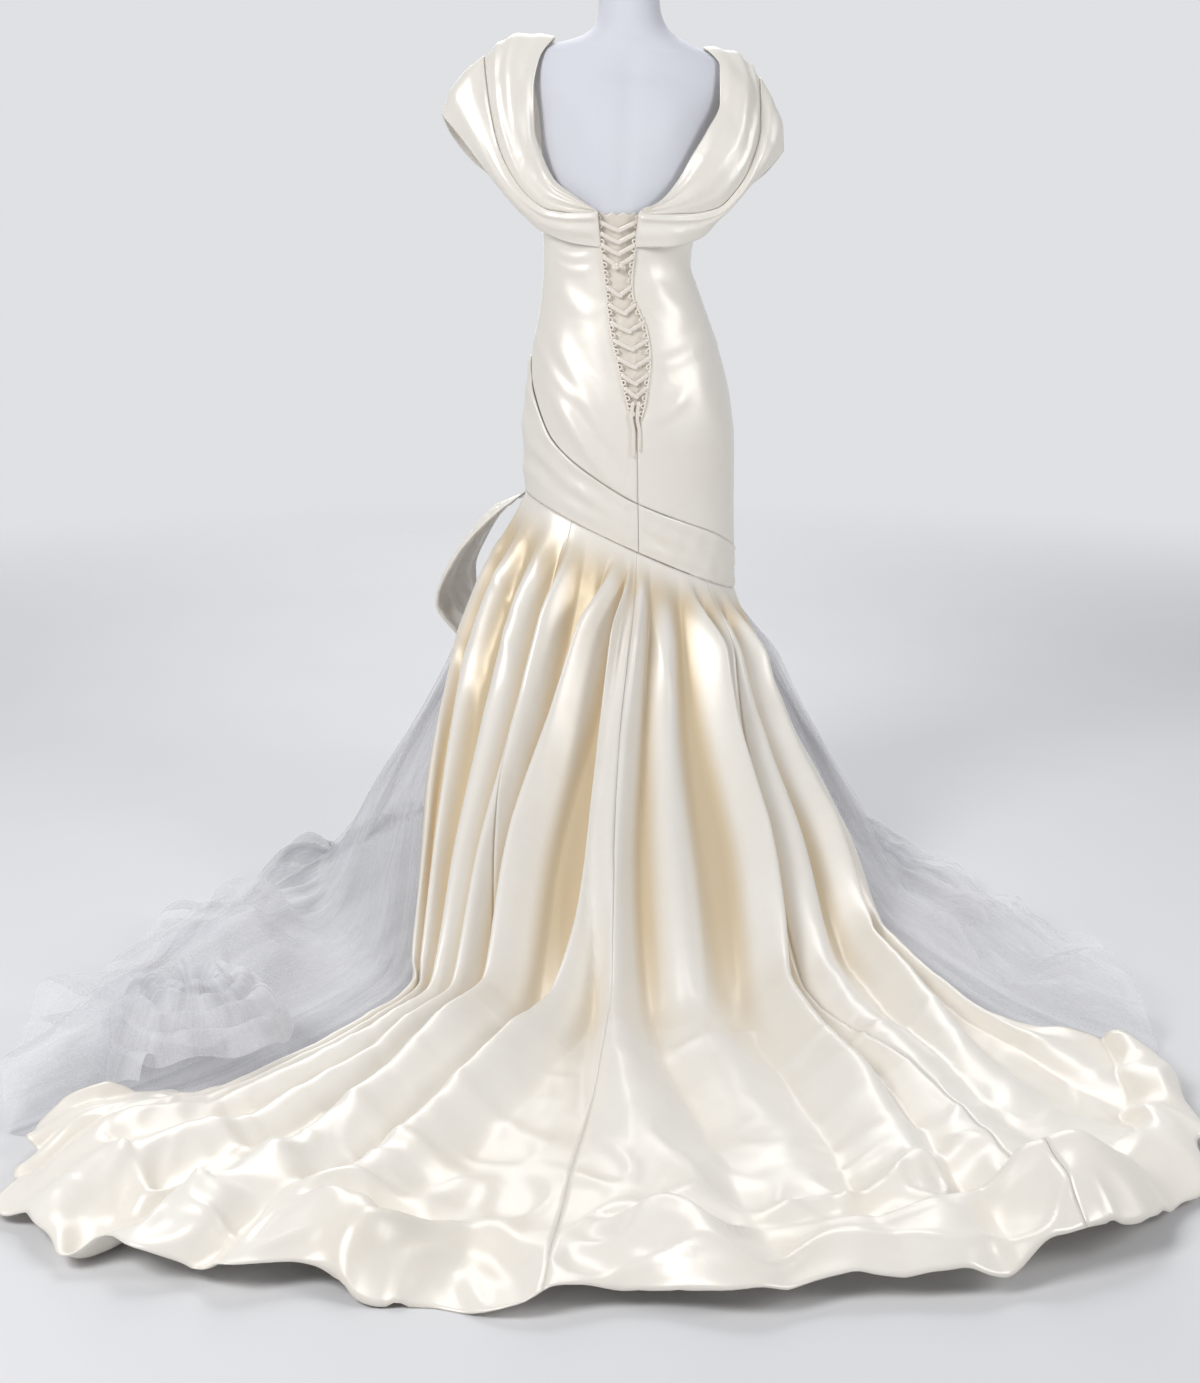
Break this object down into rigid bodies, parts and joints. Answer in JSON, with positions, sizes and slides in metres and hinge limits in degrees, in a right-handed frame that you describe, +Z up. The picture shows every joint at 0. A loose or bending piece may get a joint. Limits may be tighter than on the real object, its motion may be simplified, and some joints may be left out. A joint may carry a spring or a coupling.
{
  "type": "mermaid evening dress on a limbless dress form",
  "caption": "Ivory satin mermaid gown with shoulder drapes, laced back, slanting hip band, pleated train and tulle underskirt on a dress form.",
  "frame": {"origin": "middle of the underside of the stand's foot, on the floor", "axes": "+Z up, +Y to the back of the gown where the train lies, +X to the wearer's left"},
  "size_m": [1.6541, 2.2, 1.6064],
  "materials": {
    "ivory_satin": "heavy duchess satin, high sheen",
    "satin_cord": "satin ribbon and rouleau cord",
    "white_tulle": "fine soft net",
    "form_jersey": "smooth matt white cover",
    "white_metal": "white satin paint"
  },
  "bodies": {
    "root": {"bodice_back_left": "ivory_satin", "bodice_back_right": "ivory_satin", "bodice_front": "ivory_satin", "form_neck_cap": "white_metal", "form_torso": "form_jersey", "hip_band_front": "ivory_satin", "hip_band_right": "ivory_satin", "hip_loop": "ivory_satin", "hip_swathe_left": "ivory_satin", "lace_left_1": "satin_cord", "lace_left_10": "satin_cord", "lace_left_11": "satin_cord", "lace_left_2": "satin_cord", "lace_left_3": "satin_cord", "lace_left_4": "satin_cord", "lace_left_5": "satin_cord", "lace_left_6": "satin_cord", "lace_left_7": "satin_cord", "lace_left_8": "satin_cord", "lace_left_9": "satin_cord", "lace_right_1": "satin_cord", "lace_right_10": "satin_cord", "lace_right_11": "satin_cord", "lace_right_2": "satin_cord", "lace_right_3": "satin_cord", "lace_right_4": "satin_cord", "lace_right_5": "satin_cord", "lace_right_6": "satin_cord", "lace_right_7": "satin_cord", "lace_right_8": "satin_cord", "lace_right_9": "satin_cord", "lacing_knot": "satin_cord", "lacing_loops_left": "satin_cord", "lacing_loops_right": "satin_cord", "lacing_tail_left": "satin_cord", "lacing_tail_right": "satin_cord", "modesty_panel": "ivory_satin", "shoulder_cap_left": "ivory_satin", "shoulder_cap_right": "ivory_satin", "shoulder_fold_left": "ivory_satin", "shoulder_fold_right": "ivory_satin", "skirt_back_left": "ivory_satin", "skirt_back_right": "ivory_satin", "skirt_side_left": "ivory_satin", "skirt_side_right": "ivory_satin", "stand_collar": "white_metal", "stand_foot": "white_metal", "stand_pole": "white_metal", "tulle_left": "white_tulle", "tulle_right": "white_tulle"}
  },
  "joints": []
}
